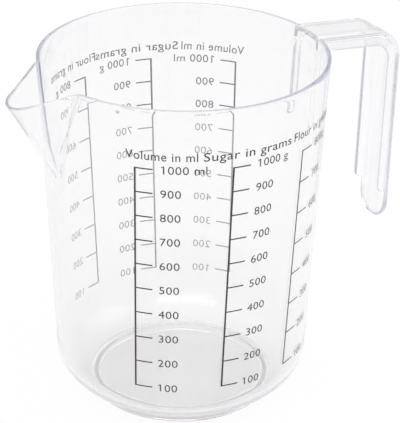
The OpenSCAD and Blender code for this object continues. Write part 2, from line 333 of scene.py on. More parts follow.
class Places:
    """Zones of a material by the place on the object: 0 outside a zone and 1 well inside it."""

    def __init__(self, tree):
        self.tree = tree
        self.here = add(tree, "ShaderNodeTexCoord").outputs["Object"]
        split = add(tree, "ShaderNodeSeparateXYZ")
        tree.links.new(self.here, split.inputs[0])
        x, y, z = split.outputs
        beside = add(tree, "ShaderNodeMath", operation="ABSOLUTE")
        tree.links.new(y, beside.inputs[0])
        from_axis = vector_math(tree, "LENGTH", self.product((1, 1, 0)))
        end_centre = (0, 0, (TIP_Z + HANDLE_HALF_W) * MM)
        from_end = vector_math(tree, "DISTANCE", self.product((0, 1, 1)), end_centre)
        out = outward(GRIP_HEADING)
        rib_slope = (rib_face_x(JUG_H) - rib_face_x(RIB_END_Z)) / (JUG_H - RIB_END_Z)
        lip_slope = LIP_DROP / (SPOUT.tip_x + SPOUT.root[0])
        # Each measure is an output in metres, and what it reads at its own zero, in millimetres
        self.measures = {
            "x": (x, 0),
            "y": (y, 0),
            "z": (z, 0),
            "beside": (beside.outputs[0], 0),
            "pale_side": (self.along(PALE_SIDE), 0),
            "far_side": (self.along(FAR_SIDE), 0),
            "near_side": (self.along(NEAR_SIDE), 0),
            "past_wall": (
                combined(tree, "ADD", from_axis, self.along((0, 0, -WALL_LEAN))),
                wall_out(0) - WALL_T,
            ),
            "under_grip": (
                self.along((-out[0], 0, -out[1])),
                CHANNEL_DEPTH - float(BEND_END @ out),
            ),
            "past_rib": (
                self.along((1, 0, -rib_slope)),
                rib_face_x(RIB_END_Z) - rib_slope * RIB_END_Z,
            ),
            "from_end": (from_end, 0),
            "over_lip": (
                self.along((-lip_slope, 0, 1)),
                JUG_H - LIP_DROP + lip_slope * SPOUT.tip_x,
            ),
        }

    def product(self, shares):
        return vector_math(self.tree, "MULTIPLY", self.here, shares)

    def along(self, direction):
        return vector_math(self.tree, "DOT_PRODUCT", self.here, direction)

    def zone(self, name):
        bounds = []
        for measure, start, stop in ZONES[name]:
            value, zero = self.measures[measure]
            bounds.append(rising(self.tree, value, (zero + start) * MM, (zero + stop) * MM))
        return combined(self.tree, "MINIMUM", *bounds)

    def weighted(self, weights):
        """Each zone of the weights, times its weight."""
        return [combined(self.tree, "MULTIPLY", self.zone(n), w) for n, w in weights.items()]

    def painted_shade_streaks(self, name):
        """Soft lines of painted shade within the zone, along the axis that they hardly change along.
        """
        shares, depth = SHADE_STREAKS[name]
        lines = noise(self.tree, self.product(shares), *SHADE_STREAK_NOISE)
        shown = rising(self.tree, lines, SHADE_STREAK_FROM, SHADE_STREAK_FULL)
        within = combined(self.tree, "MINIMUM", shown, self.zone(name))
        return combined(self.tree, "MULTIPLY", within, depth)


def tint_and_painted_edge_shade(tree, places):
    """The plastic's plain tint, with painted shade along fine edges and in painted shade streaks on
    the handle.
    """
    near_or_far = rising(tree, places.measures["y"][0], 0.0, MM, NEAR_CREASE_PAINTED_SHADE, 1.0)
    depth = combined(
        tree,
        "MAXIMUM",
        combined(tree, "MULTIPLY", places.zone("crease"), near_or_far),
        *places.weighted(PAINTED_EDGE_SHADE),
        places.painted_shade_streaks("arm"),
        places.painted_shade_streaks("grip"),
    )
    return ramp(tree, depth, PLAIN_TINT_AND_EDGE_SHADE)


def painted_caught_shade(tree, places, path):
    """Painted shade by place on caught light where it leaves, paler or darker by zone. It is laid on
    once, and what the ray then passes on its way is almost clear. Light that falls through the jug
    on things has the last tint."""
    deepened = combined(tree, "MAXIMUM", *places.weighted(CAUGHT_SHADE_DEEPENING))
    passed = rising(tree, path.outputs["Transparent Depth"], PASSED_FROM, PASSED_FULL)
    spot = combined(
        tree,
        "MAXIMUM",
        rising(tree, deepened, 0.0, 1.0, WALL_AT, 0.0),
        *places.weighted(CAUGHT_SHADE_PLACES),
        combined(tree, "MULTIPLY", passed, PASSED_AT),
        combined(tree, "MULTIPLY", path.outputs["Is Shadow Ray"], SHADOW_AT),
    )
    return ramp(tree, spot, CAUGHT_SHADES_AND_PASSING_TINTS)


def clear_plastic():
    """Clear moulding: polished, with faint flow waves, and painted shade by the place on it."""
    material, tree = new_material("clear_plastic")
    link = tree.links.new
    places = Places(tree)
    shader = add(tree, "ShaderNodeBsdfPrincipled", IOR=PLASTIC_IOR)
    polish = rising(tree, noise(tree, places.here, *POLISH_NOISE), 0.0, 1.0, *POLISH)
    worn = combined(tree, "MULTIPLY", places.zone("worn_base"), BASE_DULL)
    link(combined(tree, "MAXIMUM", polish, worn), shader.inputs["Roughness"])
    waves = noise(tree, places.here, *WAVE_NOISE)
    link(bump(tree, waves, *WAVE_BUMP), shader.inputs["Normal"])
    # Painted shade along fine edges and in streaks is laid into the base colour
    link(tint_and_painted_edge_shade(tree, places), shader.inputs["Base Color"])
    # The faint haze sits on the outside of each face, and light within the plastic doesn't meet it
    within = add(tree, "ShaderNodeNewGeometry").outputs["Backfacing"]
    link(rising(tree, within, 0.0, 1.0, 1.0 - HAZE, 1.0), shader.inputs["Transmission Weight"])
    # Lamps shine through, and caught light leaves the plastic with painted shade by place
    path = add(tree, "ShaderNodeLightPath")
    caught = combined(tree, "GREATER_THAN", path.outputs["Glossy Depth"], CAUGHT_DEPTH)
    through = add(tree, "ShaderNodeBsdfTransparent")
    # The caught light's colour is painted shade set by place on the object
    link(painted_caught_shade(tree, places, path), through.inputs["Color"])
    mix = add(tree, "ShaderNodeMixShader")
    link(combined(tree, "MAXIMUM", caught, path.outputs["Is Shadow Ray"]), mix.inputs[0])
    link(shader.outputs["BSDF"], mix.inputs[1])
    link(through.outputs["BSDF"], mix.inputs[2])
    depth = add(tree, "ShaderNodeVolumeAbsorption", Density=DEPTH_DENSITY, Color=DEPTH_COLOUR)
    out = add(tree, "ShaderNodeOutputMaterial")
    link(mix.outputs["Shader"], out.inputs["Surface"])
    link(depth.outputs["Volume"], out.inputs["Volume"])
    return material


INK_COLOURS = {0.35: (0.014, 0.012, 0.012), 0.7: (0.040, 0.036, 0.036)}
INK_SHEEN = (0.12, 0.28)
INK_COAT, INK_COAT_ROUGH = 0.3, 0.1
PATCH_NOISE = (110.0, 2.0)
GRAIN_NOISE, GRAIN_BUMP = (900.0, 3.0), (0.2, 0.00002)


def dark_ink():
    """Screen-printed ink: nearly black, a little uneven in depth and sheen."""
    material, tree = new_material("dark_ink")
    link = tree.links.new
    place = add(tree, "ShaderNodeTexCoord").outputs["Object"]
    grain = noise(tree, place, *GRAIN_NOISE)
    shader = add(tree, "ShaderNodeBsdfPrincipled")
    shader.inputs["Coat Weight"].default_value = INK_COAT
    shader.inputs["Coat Roughness"].default_value = INK_COAT_ROUGH
    patches = noise(tree, place, *PATCH_NOISE)
    link(ramp(tree, patches, INK_COLOURS), shader.inputs["Base Color"])
    link(rising(tree, grain, 0.0, 1.0, *INK_SHEEN), shader.inputs["Roughness"])
    link(bump(tree, grain, *GRAIN_BUMP), shader.inputs["Normal"])
    out = add(tree, "ShaderNodeOutputMaterial")
    link(shader.outputs["BSDF"], out.inputs["Surface"])
    return material


# Mesh helpers
def mesh_object(name, points, faces, material):
    """An object of points in millimetres."""
    mesh = bpy.data.meshes.new(name)
    mesh.from_pydata([tuple(MM * c for c in p) for p in points], [], faces)
    mesh.validate()
    mesh.polygons.foreach_set("use_smooth", [True] * len(mesh.polygons))
    mesh.materials.append(material)
    obj = bpy.data.objects.new(name, mesh)
    bpy.context.scene.collection.objects.link(obj)
    return obj


def ring_mesh(rings):
    """Faces between rings of equal length, each closed on itself. Both ends stay open."""
    count = len(rings[0])
    points = [p for ring in rings for p in ring]
    faces = []
    for i in range(len(rings) - 1):
        for j in range(count):
            k = (j + 1) % count
            a, b = i * count, (i + 1) * count
            faces.append((a + j, a + k, b + k, b + j))
    return points, faces


# A fillet takes at most this share of each side
FILLET_SHARE = 0.49


def filleted(points, radii, steps=5):
    """An outline whose corner i is rounded by radii[i]."""
    made = []
    for i, p in enumerate(points):
        r = radii.get(i, 0)
        if not r:
            made.append(tuple(p))
            continue
        p = np.array(p, float)
        a = np.array(points[i - 1], float) - p
        b = np.array(points[(i + 1) % len(points)], float) - p
        a_len, b_len = np.linalg.norm(a), np.linalg.norm(b)
        a, b = a / a_len, b / b_len
        half = math.acos(max(-1.0, min(1.0, float(a @ b)))) / 2
        run = min(r / math.tan(half), FILLET_SHARE * a_len, FILLET_SHARE * b_len)
        start, stop = p + a * run, p + b * run
        for t in np.linspace(0, 1, steps + 1):
            made.append(tuple(start * (1 - t) ** 2 + p * 2 * t * (1 - t) + stop * t**2))
    return made


def quarter_turn(steps):
    """Angles of a quarter turn in radians, divided evenly."""
    return np.radians(np.linspace(0, 90, steps + 1))


# Vessel
def smooth_max(a, b, width):
    """The larger of two values, with a round where they meet."""
    near = np.maximum(width - np.abs(a - b), 0) / width
    return np.maximum(a, b) + near * near * width / 4


# Turns from the spout's direction beyond which it has no face, in radians
SPOUT_WITHIN = 1.2


class Spout:
    """The keel between two balls and the two wings that touch both, as planes round the keel."""

    def __init__(self):
        foot_z = JUG_H - SPOUT_DEPTH
        tip_x = RIM_R + SPOUT_REACH
        angle = math.radians(SPOUT_HALF_ANGLE)
        self.root = np.array([-RIM_R * math.cos(angle), RIM_R * math.sin(angle), JUG_H])
        tilt = math.atan2(tip_x - wall_out(foot_z), SPOUT_DEPTH - LIP_DROP)
        inward = np.array([math.cos(tilt), 0, math.sin(tilt)])
        self.tip_x = tip_x
        self.tip = np.array([-tip_x, 0, JUG_H - LIP_DROP]) + SPOUT_TIP_R * inward
        self.foot = np.array([-wall_out(foot_z), 0, foot_z]) + SPOUT_FOOT_R * inward
        line = self.tip - self.foot
        length = np.linalg.norm(line)
        self.along = line / length
        self.share = (SPOUT_FOOT_R - SPOUT_TIP_R) / length
        self.out = np.array([-self.along[2], 0, self.along[0]])
        self.across = math.sqrt(1 - self.share**2)
        # The wing's plane passes through the root
        gap = self.root - self.foot
        need = SPOUT_FOOT_R - self.share * (gap @ self.along)
        y, x = self.across * gap[1], self.across * (gap @ self.out)
        middle, spread = math.atan2(y, x), math.acos(need / math.hypot(x, y))
        self.wing = min(
            (w for w in (middle + spread, middle - spread) if 0 < w < math.pi),
            key=lambda w: abs(w - math.pi / 3),
        )

    def radius(self, turn, z, drawn_in):
        """Distance from the axis to the spout's face, turn being the angle from its direction."""
        dx, dy = -np.cos(turn), np.sin(turn)
        a = (
            SPOUT_FOOT_R
            - drawn_in
            + self.foot @ self.along * self.share
            - self.share * self.along[2] * z
        )
        b = self.across * (self.foot @ self.out - self.out[2] * z)
        d = self.share * self.along[0] * dx
        e = self.across * self.out[0] * dx
        f = self.across * dy

        def reach(theta):
            below = d + e * np.cos(theta) + f * np.sin(theta)
            value = (a + b * np.cos(theta)) / np.where(below > TINY, below, 1)
            return np.where(below > TINY, value, np.inf)

        p, q, k = a * e - b * d, -a * f, -b * f
        lift = np.arcsin(np.clip(-k / np.hypot(p, q), -1, 1))
        shift = np.arctan2(q, p)
        best = np.minimum(reach(self.wing + 0 * shift), reach(-self.wing + 0 * shift))
        for root in (lift - shift, math.pi - lift - shift):
            root = (root + math.pi) % (2 * math.pi) - math.pi
            best = np.minimum(best, reach(np.clip(root, -self.wing, self.wing)))
        return np.where(np.isfinite(best) & (np.abs(turn) < SPOUT_WITHIN), best, 0)


SPOUT = Spout()
CREASE_OUTSIDE = 0.35
CREASE_INSIDE = 1.1
# The lip's line bends over this share of its length, on each side of its root
LIP_SOFT = 0.16
# The top is found in this many rounds, and is level beyond this turn in radians
TOP_ROUNDS, TOP_WITHIN = 12, 1.0
# The rim's edges are rounder on the lip by this much, as start less fall times the half turn's
# share, kept between 0 and 1
LIP_EDGE_MORE = 0.18
LIP_EDGE_START, LIP_EDGE_FALL = 1.6, 1.7
# The spout's wall thins towards its lip by this much, over this height
LIP_THINNER = 0.6
LIP_THIN_H = 14.0
SPOUT_HALF_TURN = math.radians(SPOUT_HALF_ANGLE)
# The rim's flat top starts this many edge radii in from each face
RIM_FLAT_IN = 1.4
RING_FILLET = 0.9
RING_CLEAR = 1.0
# Rings up the wall: few up to the spout's foot, and many beyond it
SPOUT_SHARE, LOW_RINGS, HIGH_RINGS = 0.6, 6, 25
# Columns round the vessel, in degrees: the widest step, and the middle, half width and step of
# the finer parts. From there the step grows by this share of the way.
TURN_STEP = 1.0
FINE_TURNS = ((10.5, 11.0, 0.28), (180.0, 11.0, 0.75))
TURN_GROWTH = 0.12


def face_radius(turn, z, drawn_in, top=None):
    """Radius of the vessel's outer face, or of its inner one where drawn_in is the wall's
    thickness. The spout's inner face is drawn in less near the top, where one is given."""
    cone = wall_out(z) - drawn_in + 0 * turn
    spout_drawn_in = drawn_in
    if top is not None:
        spout_drawn_in = drawn_in - LIP_THINNER * np.clip((z - top) / LIP_THIN_H + 1, 0, 1)
    crease = CREASE_OUTSIDE + (CREASE_INSIDE - CREASE_OUTSIDE) * drawn_in / WALL_T
    return smooth_max(cone, SPOUT.radius(turn, z, spout_drawn_in), crease)


def lip_height(x):
    """Height of the rim's edge at a place x, which is the rim's own height outside the spout."""
    root_x = -SPOUT.root[0]
    t = (-x - root_x) / (SPOUT.tip_x - root_x)
    soft = LIP_SOFT
    eased = np.where(t > soft, t, np.where(t > -soft, (t + soft) ** 2 / (4 * soft), 0))
    sag = 4 * LIP_SAG * np.clip(eased * (1 - eased), 0, 1)
    return JUG_H - LIP_DROP * eased - sag


def top_height(turn):
    """Height of the rim's top at each turn, where the lip's line meets the middle of the wall."""
    z = np.full_like(turn, JUG_H)
    for _ in range(TOP_ROUNDS):
        middle = (face_radius(turn, z, 0) + face_radius(turn, z, WALL_T)) / 2
        z = 0.5 * z + 0.5 * lip_height(-middle * np.cos(turn))
    return np.where(np.abs(turn) < TOP_WITHIN, z, JUG_H)


def corner_arc(reach, height, steps=22):
    """The round corner from the floor to the wall, leaning with the wall."""
    x0 = WAIST_R - CORNER_REACH
    return [
        (
            x0 + reach * math.cos(a) - WALL_LEAN * height * math.sin(a),
            CORNER_TOP - height * math.sin(a),
        )
        for a in np.radians(np.linspace(90, 0, steps + 1))
    ]


def floor_rise(start, z, steps=10):
    """From the axis to the corner's foot, as half a cosine wave."""
    return [
        (start * t, z + FLOOR_RISE * (1 + math.cos(math.pi * t)) / 2)
        for t in np.linspace(0, 1, steps + 1)[1:-1]
    ]


def base_outline():
    """The underside from near the axis to the wall, with the foot ring."""
    corner = corner_arc(CORNER_REACH, CORNER_H, steps=30)
    ring_in = FOOT_R - FOOT_W
    inner = [p for p in corner if p[0] < ring_in - RING_CLEAR]
    outer = [p for p in corner if p[0] > FOOT_R + RING_CLEAR]

    def corner_z(x):
        return float(np.interp(x, [p[0] for p in corner], [p[1] for p in corner]))

    ring = [
        (ring_in - RING_FILLET, corner_z(ring_in - RING_FILLET)),
        (ring_in, corner_z(ring_in)),
        (ring_in, 0),
        (FOOT_R, 0),
        (FOOT_R, corner_z(FOOT_R)),
        (FOOT_R + RING_FILLET, corner_z(FOOT_R + RING_FILLET)),
    ]
    ring = filleted(ring, {1: RING_FILLET, 2: FOOT_EDGE_R, 3: FOOT_EDGE_R, 4: RING_FILLET})
    return floor_rise(corner[0][0], FOOT_H) + inner + ring + outer


def turn_samples():
    """Turns round the axis, closer together over the spout, its creases and the handle's root."""
    turns = [0.0]
    while turns[-1] < 180:
        here = turns[-1]
        step = TURN_STEP
        for middle, width, fine in FINE_TURNS:
            gap = max(0.0, abs(here - middle) - width)
            step = min(step, fine + gap * TURN_GROWTH)
        turns.append(here + step)
    half = np.radians(np.array(turns) * 180 / turns[-1])
    return np.concatenate([half[:-1], half[-1:], -half[1:-1][::-1]])


def make_vessel(material):
    """One closed shell: underside, outer face, rim, inner face and floor, ring by ring."""
    turn = turn_samples()
    cos_t, sin_t = -np.cos(turn), np.sin(turn)
    top = top_height(turn)
    rings = []

    def add_ring(radius, z):
        radius, z = radius + 0 * turn, z + 0 * turn
        rings.append(list(zip(radius * cos_t, radius * sin_t, z)))

    for r, z in base_outline():
        add_ring(r, z)
    on_lip = np.clip(LIP_EDGE_START - np.abs(turn) / SPOUT_HALF_TURN * LIP_EDGE_FALL, 0, 1)
    edge = RIM_EDGE_R + LIP_EDGE_MORE * on_lip
    low = np.linspace(0, SPOUT_SHARE, LOW_RINGS)
    share = np.concatenate([low, np.linspace(SPOUT_SHARE, 1, HIGH_RINGS)[1:]])
    for s in share[1:]:
        z = CORNER_TOP + (top - edge - CORNER_TOP) * s
        add_ring(face_radius(turn, z, 0), z)
    z = top - edge
    outer, inner = face_radius(turn, z, 0), face_radius(turn, z, WALL_T, top)
    quarter = quarter_turn(5)[1:]
    for a in quarter:
        add_ring(outer - edge * (1 - math.cos(a)), z + edge * math.sin(a))
    add_ring(outer - RIM_FLAT_IN * edge, top)
    add_ring(inner + RIM_FLAT_IN * edge, top)
    for a in quarter[::-1]:
        add_ring(inner + edge * (1 - math.cos(a)), z + edge * math.sin(a))
    for s in share[::-1]:
        z = CORNER_TOP + (top - edge - CORNER_TOP) * s
        add_ring(face_radius(turn, z, WALL_T, top), z)
    floor = corner_arc(CORNER_REACH - WALL_T, CORNER_H - FLOOR_T)
    rise = floor_rise(floor[0][0], FOOT_H + FLOOR_T)
    for r, z in (rise + floor)[-2::-1]:
        add_ring(r, z)
    points, faces = ring_mesh(rings)
    # A fan round the axis closes the underside, and another the floor
    count = len(turn)
    under, over = len(points), len(points) + 1
    points += [(0, 0, FOOT_H + FLOOR_RISE), (0, 0, FOOT_H + FLOOR_T + FLOOR_RISE)]
    last = (len(rings) - 1) * count
    for j in range(count):
        k = (j + 1) % count
        faces.append((under, k, j))
        faces.append((over, last + j, last + k))
    return mesh_object("clear_jug", points, faces, material)


# Handle
def ahead(heading):
    return np.array([math.cos(math.radians(heading)), math.sin(math.radians(heading))])


def outward(heading):
    return np.array([-math.sin(math.radians(heading)), math.cos(math.radians(heading))])


GRIP_HEADING = -90 - GRIP_LEAN
ARM_START = np.array([RIM_R, JUG_H - ARM_DROP])
ARM_LEN = (HANDLE_REACH - BEND_R + BEND_R * math.sin(math.radians(ARM_DIP))) / math.cos(
    math.radians(ARM_DIP)
)
BEND_CENTRE = ARM_START + ARM_LEN * ahead(-ARM_DIP) - BEND_R * outward(-ARM_DIP)
BEND_END = BEND_CENTRE + BEND_R * outward(GRIP_HEADING)
FLANGE_EDGE_R = 0.75
FLANGE_ROOT_R = 1.0
# What is left of a flange below its round end goes after this gap, over this run
FLANGE_STEP_GAP, FLANGE_STEP = 0.1, 0.7
# The strap's round end stops just short of a point, in degrees
TIP_ROUND = 84
# How many stations the parts have, of which the first or last belongs to the part beside
ARM_STOPS, BEND_STOPS, GRIP_STOPS, TIP_STOPS = 14, 25, 16, 15
# The round at the flange's root starts a hair further in, so that no two points coincide
ROOT_GAP = 0.02


def handle_stations():
    """Stations from inside the wall to the tip: place, heading, width share, depth share, flange."""
    full = CHANNEL_DEPTH - STRAP_T
    stops = []
    for run in np.concatenate([[-WALL_T / 2], np.linspace(0.0, ARM_LEN, ARM_STOPS)[:-1]]):
        stops.append((ARM_START + run * ahead(-ARM_DIP), -ARM_DIP, 1, 1, full))
    for heading in np.linspace(-ARM_DIP, GRIP_HEADING, BEND_STOPS):
        stops.append((BEND_CENTRE + BEND_R * outward(heading), heading, 1, 1, full))

    def stop(z, width=1.0, depth=1.0, flange=full):
        run = (BEND_END[1] - z) / math.cos(math.radians(GRIP_LEAN))
        place = BEND_END + run * ahead(GRIP_HEADING)
        stops.append((place, GRIP_HEADING, width, depth, flange))

    for z in np.linspace(BEND_END[1], FLANGE_END_Z + FLANGE_END_R, GRIP_STOPS)[1:]:
        stop(z)
    for a in quarter_turn(8)[1:]:
        z = FLANGE_END_Z + FLANGE_END_R * (1 - math.sin(a))
        stop(z, flange=full - FLANGE_END_R * (1 - math.cos(a)))
    left = full - FLANGE_END_R
    for a in quarter_turn(4)[1:]:
        z = FLANGE_END_Z - FLANGE_STEP_GAP - FLANGE_STEP * (1 - math.cos(a))
        stop(z, flange=left - left * math.sin(a))
    half = HANDLE_HALF_W
    below = FLANGE_END_Z - FLANGE_STEP_GAP - FLANGE_STEP
    for z in np.linspace(below, TIP_Z + half, 4)[1:]:
        stop(z, flange=0)
    end_r = STRAP_T / 2
    for a in np.radians(np.linspace(0, TIP_ROUND, TIP_STOPS)[1:]):
        z = TIP_Z + half * (1 - math.sin(a))
        near = max(0.0, 1 - (z - TIP_Z) / end_r)
        stop(z, math.cos(a), math.sqrt(max(0.0, 1 - near**2)), 0)
    return stops


def handle_section(flange):
    """Half the channel's outline as sideways place and depth, from the crown to the inner face's
    middle."""
    half, edge = HANDLE_HALF_W, STRAP_EDGE_R
    flat_w = half - edge
    outline = [(flat_w * t, STRAP_CROWN * t * t) for t in np.linspace(0, 1, 6)[:-1]]
    for a in quarter_turn(6):
        outline.append((flat_w + edge * math.sin(a), STRAP_CROWN + edge * (1 - math.cos(a))))
    depth = STRAP_T + flange
    outer_r, inner_r = FLANGE_EDGE_R, min(FLANGE_EDGE_R, flange / 2)
    inner_y = half - FLANGE_T
    quarter = quarter_turn(5)
    for a in quarter:
        outline.append((half - outer_r * (1 - math.cos(a)), depth - outer_r * (1 - math.sin(a))))
    for a in quarter[::-1]:
        y = inner_y + inner_r * (1 - math.cos(a))
        outline.append((y, depth - inner_r * (1 - math.sin(a))))
    root_r = min(FLANGE_ROOT_R, flange / 2)
    for a in quarter:
        y = inner_y - root_r * (1 - math.cos(a)) - ROOT_GAP
        outline.append((y, STRAP_T + root_r * (1 - math.sin(a))))
    outline += [(inner_y * t, STRAP_T) for t in (0.6, 0.3)]
    return outline


def make_handle(material):
    rings = []
    for place, heading, width, depth_share, flange in handle_stations():
        half = handle_section(flange)
        outline = half + [(0.0, STRAP_T)] + [(-y, d) for y, d in half[:0:-1]]
        out = outward(heading)
        middle = STRAP_T / 2
        ring = []
        for y, d in outline:
            d = middle + (d - middle) * depth_share
            p = place - d * out
            ring.append((p[0], y * width, p[1]))
        rings.append(ring)
    points, faces = ring_mesh(rings)
    count = len(rings[0])
    last = (len(rings) - 1) * count
    faces.append(tuple(range(count))[::-1])
    faces.append(tuple(last + j for j in range(count)))
    return mesh_object("handle_part", points, faces, material)


RIB_END_R = 2.4
RIB_EDGE_R = 0.5
# How far the rib reaches up into the arm, on past its face under the arm, and out at its top
RIB_LIFT = 2.0
RIB_ALONG_ARM = 3.2
RIB_TOP_OUT = 1.2
# The rib is slimmer by this on each side, so that rib and flange have no faces in one plane
RIB_SLIMMER = 0.03
# Only its edges below the arm and outside the wall are rounded, with these margins
RIB_MARGIN_X, RIB_MARGIN_Z = 0.2, 0.1


def rib_face_x(z):
    return math.sqrt(wall_out(z) ** 2 - HANDLE_HALF_W**2) + RIB_DEPTH


def under_arm_z(x):
    edge = ARM_START - CHANNEL_DEPTH * outward(-ARM_DIP)
    return edge[1] - (x - edge[0]) * math.tan(math.radians(ARM_DIP))


def make_rib(side, material):
    """A rib from the wall's middle out to its face, from inside the arm down to its round end."""
    top_x = rib_face_x(under_arm_z(RIM_R) - RIB_FILLET)
    end_x = rib_face_x(RIB_END_Z)
    inside = math.sqrt(wall_out(RIB_END_Z) ** 2 - HANDLE_HALF_W**2) - WALL_T / 2
    arm_x = top_x + RIB_ALONG_ARM
    outline = [
        (inside, RIB_END_Z),
        (end_x, RIB_END_Z),
        (top_x, under_arm_z(top_x)),
        (arm_x, under_arm_z(arm_x)),
        (arm_x, under_arm_z(arm_x) + RIB_LIFT),
        (inside + RIB_TOP_OUT, under_arm_z(inside) + RIB_LIFT),
    ]
    outline = filleted(outline, {1: RIB_END_R, 2: RIB_FILLET}, steps=7)
    half = FLANGE_T / 2 - RIB_SLIMMER
    middle = side * (HANDLE_HALF_W - FLANGE_T / 2)
    mesh = bmesh.new()
    face = mesh.faces.new([mesh.verts.new((x, middle - half, z)) for x, z in outline])
    pushed = bmesh.ops.extrude_face_region(mesh, geom=[face])
    moved = [g for g in pushed["geom"] if isinstance(g, bmesh.types.BMVert)]
    bmesh.ops.translate(mesh, vec=(0, 2 * half, 0), verts=moved)
    long_edges = [
        e
        for e in mesh.edges
        if abs(e.verts[0].co.y - e.verts[1].co.y) < TINY
        and min(v.co.x for v in e.verts) > inside + RIB_TOP_OUT + RIB_MARGIN_X
        and max(v.co.z for v in e.verts) < under_arm_z(top_x) + RIB_MARGIN_Z
    ]
    bmesh.ops.bevel(
        mesh, geom=long_edges, offset=RIB_EDGE_R, segments=4, affect="EDGES", profile=0.5
    )
    bmesh.ops.recalc_face_normals(mesh, faces=mesh.faces)
    points = [tuple(v.co) for v in mesh.verts]
    faces = [tuple(v.index for v in f.verts) for f in mesh.faces]
    mesh.free()
    return mesh_object("rib_part", points, faces, material)


# Points nearer than this, in metres, are one, and edges sharper than this, in degrees, show
WELD = 1e-7
SHARP_ANGLE = 50


def outside_out(obj):
    """Turns every face outwards and drops faces without area."""
    mesh = bmesh.new()
    mesh.from_mesh(obj.data)
    bmesh.ops.remove_doubles(mesh, verts=mesh.verts, dist=WELD)
    bmesh.ops.dissolve_degenerate(mesh, edges=mesh.edges, dist=WELD)
    bmesh.ops.recalc_face_normals(mesh, faces=mesh.faces)
    mesh.to_mesh(obj.data)
    mesh.free()


def joined(body, tools):
    """The body with each tool added to it as one solid."""
    outside_out(body)
    for tool in tools:
        outside_out(tool)
        step = body.modifiers.new("join", "BOOLEAN")
        step.operation = "UNION"
        step.solver = "EXACT"
        step.object = tool
    made = bpy.data.meshes.new_from_object(
        body.evaluated_get(bpy.context.evaluated_depsgraph_get())
    )
    body.modifiers.clear()
    body.data = made
    for tool in tools:
        bpy.data.objects.remove(tool)
    made.polygons.foreach_set("use_smooth", [True] * len(made.polygons))
    made.set_sharp_from_angle(angle=math.radians(SHARP_ANGLE))
    return body


# Print
FRONT_DIRECTIONS = (-136.8, -98.8, -64.5)
BACK_DIRECTIONS = (38.5, 75.8, 108.6)
UPRIGHT_W = 0.75
MARK_T = 0.55
MARK_LEN = 7.0
# Each mark starts within its upright
MARK_LAP = 0.05
UPRIGHT_PARTS, MARK_PARTS = 12, 8
FIRST_MARK_Z = 25.4
MARK_RISE = 11.85
MARK_COUNT = 10
FLOUR_FIRST_Z = 25.2
FLOUR_FIRST_RISE = 15.0
FLOUR_RISE = 13.7
FLOUR_COUNT = 8
PRINT_LEAN = 0.83
# The ink reaches a little into the wall's face, so that it is in contact with it
INK_IN, INK_OUT = 0.03, 0.03
DIGIT_H = 3.4
NUMBER_W = 7.9
# The slanted stroke at the head of a 1
FLAG_W, FLAG_DROP, FLAG_T, FLAG_LAP = 0.8, 0.5, 0.42, 0.05
NUMBER_START = 9.65
# The numbers' column leans a little more than its upright on the near side
NUMBER_LEAN = {"front": 0.009, "back": 0.0}
# How much bolder than the plain letters, as a share of the letters' size
NUMBER_WEIGHT = 0.0
HEADING_WEIGHT = 0.004
LETTER_SPACING = 1.06
# Points of the flat print nearer than this are one
PRINT_WELD = 1e-4
HEADING_Z = 128.2
HEADING_H = 3.7
# Each heading's words, and where it starts and ends from its upright line
HEADINGS = {
    "volume": ("Volume in ml", -3.0, 25.0),
    "sugar": ("Sugar in grams", -11.2, 27.3),
    "flour": ("Flour in grams", -5.5, 26.6),
}
UNITS = {"volume": "ml", "sugar": "g", "flour": "g"}


def volume_heights():
    """Marks that each hold the same volume more in the cone."""
    first = wall_out(FIRST_MARK_Z) - WALL_T
    cube = (first + WALL_LEAN * MARK_RISE) ** 3 - first**3
    return [
        FIRST_MARK_Z + ((first**3 + k * cube) ** (1 / 3) - first) / WALL_LEAN
        for k in range(MARK_COUNT)
    ]


def flour_heights():
    second = FLOUR_FIRST_Z + FLOUR_FIRST_RISE
    return [FLOUR_FIRST_Z] + [second + k * FLOUR_RISE for k in range(FLOUR_COUNT - 1)]


def lettering(words, weight):
    """Flat filled letters as points and faces, as the font sets them."""
    curve = bpy.data.curves.new("letters", "FONT")
    curve.body = words
    curve.resolution_u = 4
    curve.space_character = LETTER_SPACING
    curve.offset = weight
    obj = bpy.data.objects.new("letters", curve)
    bpy.context.scene.collection.objects.link(obj)
    bpy.context.view_layer.update()
    mesh = bpy.data.meshes.new_from_object(
        obj.evaluated_get(bpy.context.evaluated_depsgraph_get())
    )
    points = np.array([v.co[:2] for v in mesh.vertices])
    faces = [tuple(f.vertices) for f in mesh.polygons]
    bpy.data.objects.remove(obj)
    bpy.data.curves.remove(curve)
    bpy.data.meshes.remove(mesh)
    return points, faces


def ends(points):
    """Where letters start and end."""
    return points[:, 0].min(), points[:, 0].max()


